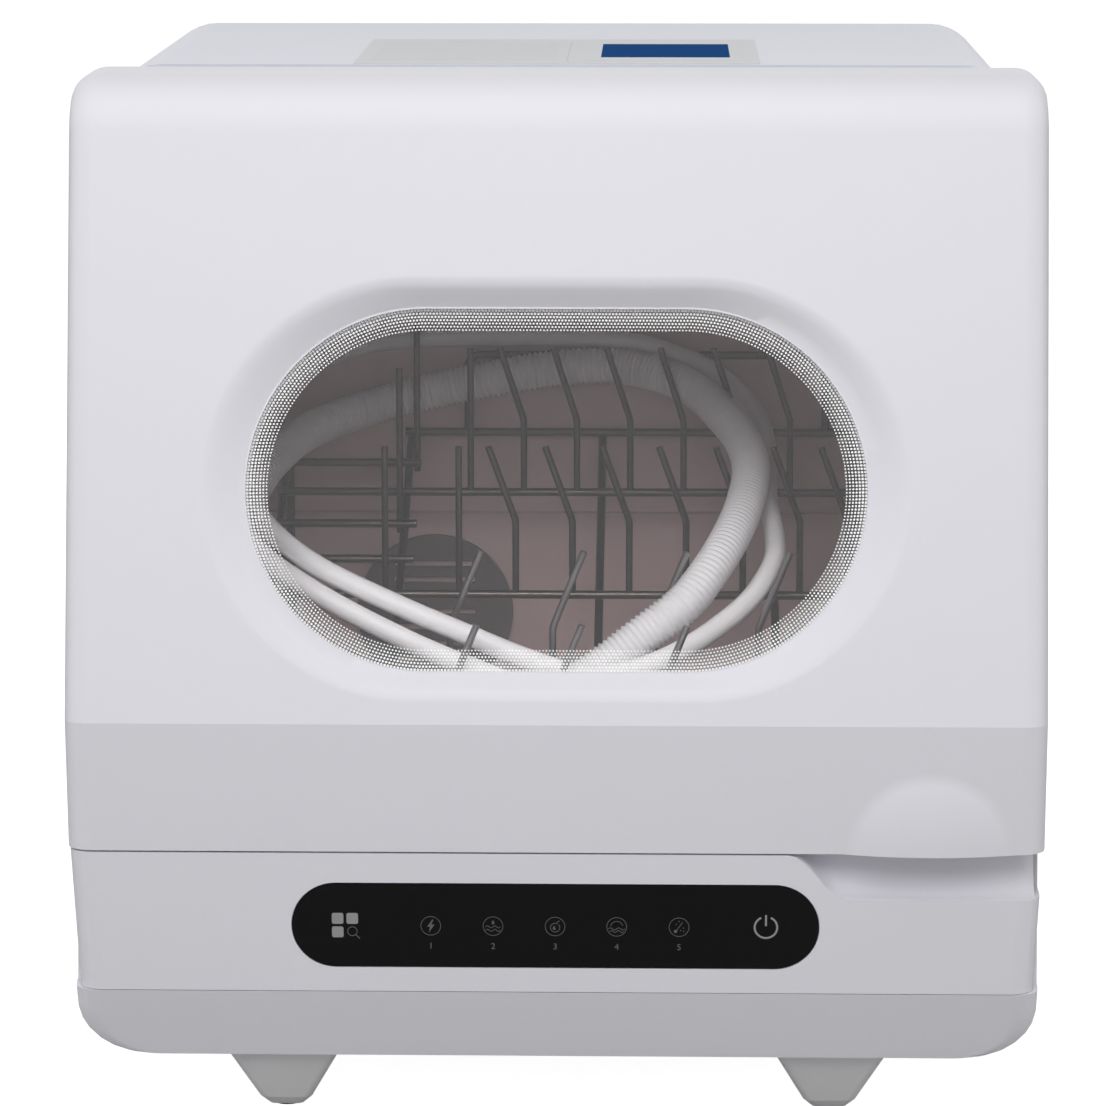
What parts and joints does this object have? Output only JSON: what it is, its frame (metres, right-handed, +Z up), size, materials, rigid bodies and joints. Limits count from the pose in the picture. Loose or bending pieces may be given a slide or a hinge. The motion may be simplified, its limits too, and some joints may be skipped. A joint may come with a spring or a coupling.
{
  "type": "countertop dishwasher",
  "caption": "Countertop dishwasher with a curved top-hinged door, obround window, wire dish rack, spray arm, pumps and tapered feet.",
  "frame": {"origin": "centre of the footprint, on the surface that the feet stand on", "axes": "+Z up, door and control fascia towards -Y, +X to the right of someone who faces the door"},
  "size_m": [0.42, 0.4206, 0.4548],
  "materials": {
    "white_gloss": "injection moulded, smooth, light gloss",
    "white_casing": "injection moulded, satin",
    "housing_sheet": "powder-coated sheet, smooth",
    "foot_grey": "moulded, satin grey",
    "sole_rubber": "soft sole pad",
    "seal_grey": "hollow door seal",
    "gasket_black": "window channel",
    "lens_black": "high gloss lens with grey printed pictograms",
    "board_green": "circuit board",
    "tub_plastic": "moulded wash tub",
    "rack_wire": "drawn stainless wire, welded",
    "steel": "stainless sheet and pins",
    "pump_plastic": "glass-filled moulding",
    "motor_metal": "motor can",
    "smoke_glass": "tempered glass, taupe tint, white dotted border",
    "label_film": "thin protective film",
    "spray_plastic": "moulded spray arm",
    "glide_nylon": "nylon",
    "hose_white": "soft white hose and tube",
    "cap_grey": "moulded cap"
  },
  "bodies": {
    "root": {"base_tray": "white_casing", "feet": "foot_grey", "foot_pads": "sole_rubber", "front_fascia": "white_gloss", "control_lens": "lens_black", "control_board": "board_green", "housing_shell": "housing_sheet", "rear_panel": "white_casing", "front_frame": "white_casing", "tub": "tub_plastic", "rack_runners": "tub_plastic", "wall_vent_cap": "cap_grey", "sump": "pump_plastic", "filter_plate": "steel", "heater_tube": "steel", "spray_post": "spray_plastic", "spray_nut": "spray_plastic", "wash_pump_casing": "pump_plastic", "wash_motor": "motor_metal", "wash_pipe": "hose_white", "drain_pump_casing": "pump_plastic", "drain_motor": "motor_metal", "drain_pipe": "hose_white", "drain_spigot": "cap_grey", "water_tank": "glide_nylon", "fill_pipe": "hose_white", "inlet_valve": "cap_grey", "cord_gland": "gasket_black", "power_board": "board_green", "door_lock": "pump_plastic", "hinge_brackets": "steel", "hinge_pins": "steel", "housing_screws": "steel", "top_label": "label_film"},
    "door": {"door_shell": "white_gloss", "door_liner": "white_casing", "door_glass": "smoke_glass", "window_gasket": "gasket_black", "door_seal": "seal_grey", "hinge_bar": "white_gloss", "door_hook": "cap_grey", "door_screws": "steel"},
    "rack": {"rack_frame": "rack_wire", "tine_row_back": "rack_wire", "tine_row_middle": "rack_wire", "tine_row_front": "rack_wire", "tine_row_low": "rack_wire", "rack_glides": "glide_nylon", "drain_hose": "hose_white", "inlet_tube": "hose_white"},
    "spray_arm": {"spray_arm": "spray_plastic"},
    "filter_cup": {"filter_cup": "cap_grey"},
    "wash_impeller": {"wash_impeller": "glide_nylon"},
    "drain_impeller": {"drain_impeller": "glide_nylon"}
  },
  "joints": [
    {"name": "door_hinge", "type": "hinge", "parent": "root", "child": "door", "pos_m": [0, -0.09275, 0.4461], "axis": [-1, 0, 0], "range_deg": [0, 95]},
    {"name": "rack_slide", "type": "slide", "parent": "root", "child": "rack", "axis": [0, -1, 0], "range_m": [0, 0.02]},
    {"name": "spray_spin", "type": "hinge", "parent": "root", "child": "spray_arm", "pos_m": [0, 0, 0.118], "axis": [0, 0, 1], "continuous": true},
    {"name": "filter_twist", "type": "hinge", "parent": "root", "child": "filter_cup", "pos_m": [0.075, -0.062, 0.1], "axis": [0, 0, 1], "range_deg": [0, 60]},
    {"name": "wash_pump_spin", "type": "hinge", "parent": "root", "child": "wash_impeller", "pos_m": [0.14, -0.062, 0.074], "axis": [1, 0, 0], "continuous": true},
    {"name": "drain_pump_spin", "type": "hinge", "parent": "root", "child": "drain_impeller", "pos_m": [-0.005, -0.062, 0.062], "axis": [0, 1, 0], "continuous": true}
  ]
}
